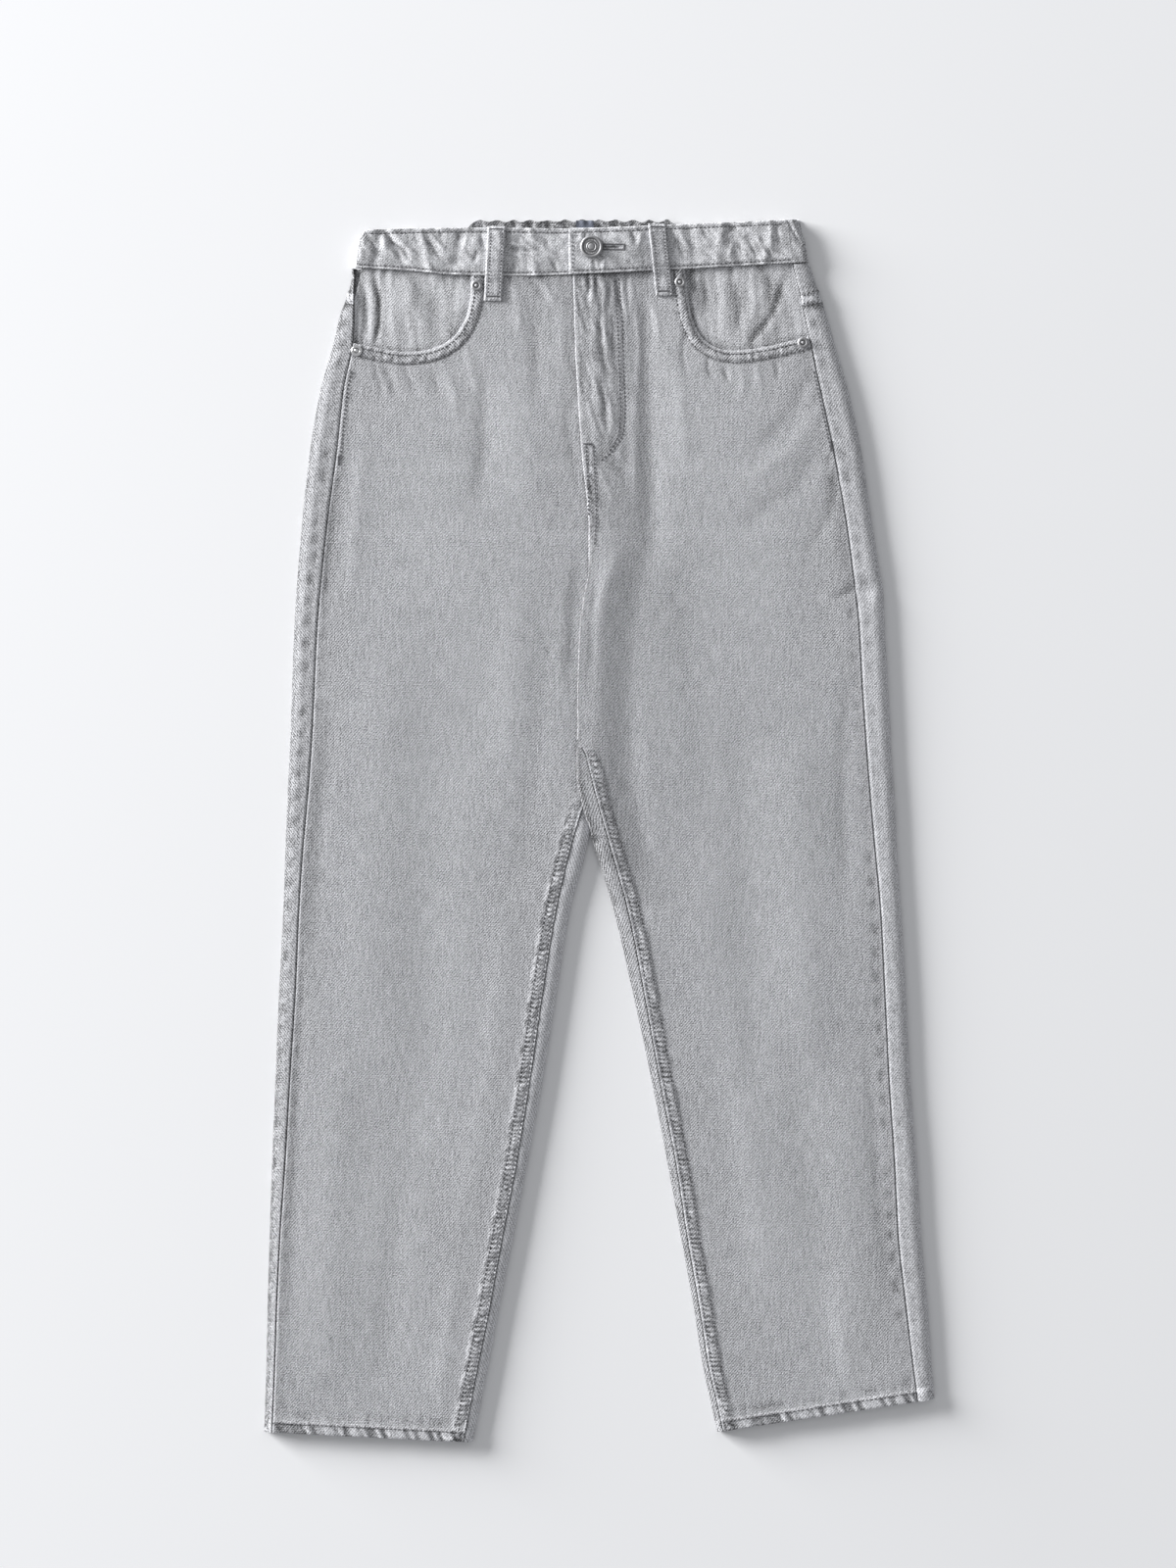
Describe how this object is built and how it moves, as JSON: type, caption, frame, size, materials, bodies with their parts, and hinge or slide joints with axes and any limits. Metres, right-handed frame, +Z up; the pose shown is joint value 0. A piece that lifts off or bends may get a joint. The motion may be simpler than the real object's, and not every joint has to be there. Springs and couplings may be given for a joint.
{
  "type": "baggy jeans",
  "caption": "Light grey denim jeans laid flat, front up, with wide straight legs, scooped front pockets, belt loops, a buttoned waistband with an elastic back and plain hems.",
  "frame": {"origin": "middle of the laid outline, on the surface that the jeans lie on", "axes": "+X to the viewer's right, which is the wearer's left; +Y from the hems to the waistband; +Z up, out of the front of the jeans"},
  "size_m": [0.5126, 0.9342, 0.0125],
  "materials": {
    "denim": "matte washed light grey twill",
    "pocket_denim": "matte washed light grey twill, less worn",
    "band_denim": "matte washed light grey twill, crinkled",
    "metal": "antique brushed nickel",
    "label": "plain woven tape, grey blue"
  },
  "bodies": {
    "root": {"front_right": "denim", "front_left": "denim", "back_right": "denim", "back_left": "denim", "yoke_right": "denim", "yoke_left": "denim", "pocket_facing_right": "pocket_denim", "pocket_facing_left": "pocket_denim", "back_pocket_right": "denim", "back_pocket_left": "denim", "waistband_front_right": "band_denim", "waistband_front_left": "band_denim", "waistband_back": "band_denim", "loop_front_right": "band_denim", "loop_front_left": "band_denim", "loop_side_right": "band_denim", "loop_side_left": "band_denim", "loop_back": "band_denim", "button": "metal", "rivet_fly_right": "metal", "rivet_side_right": "metal", "rivet_fly_left": "metal", "rivet_side_left": "metal", "label": "label"}
  },
  "joints": []
}
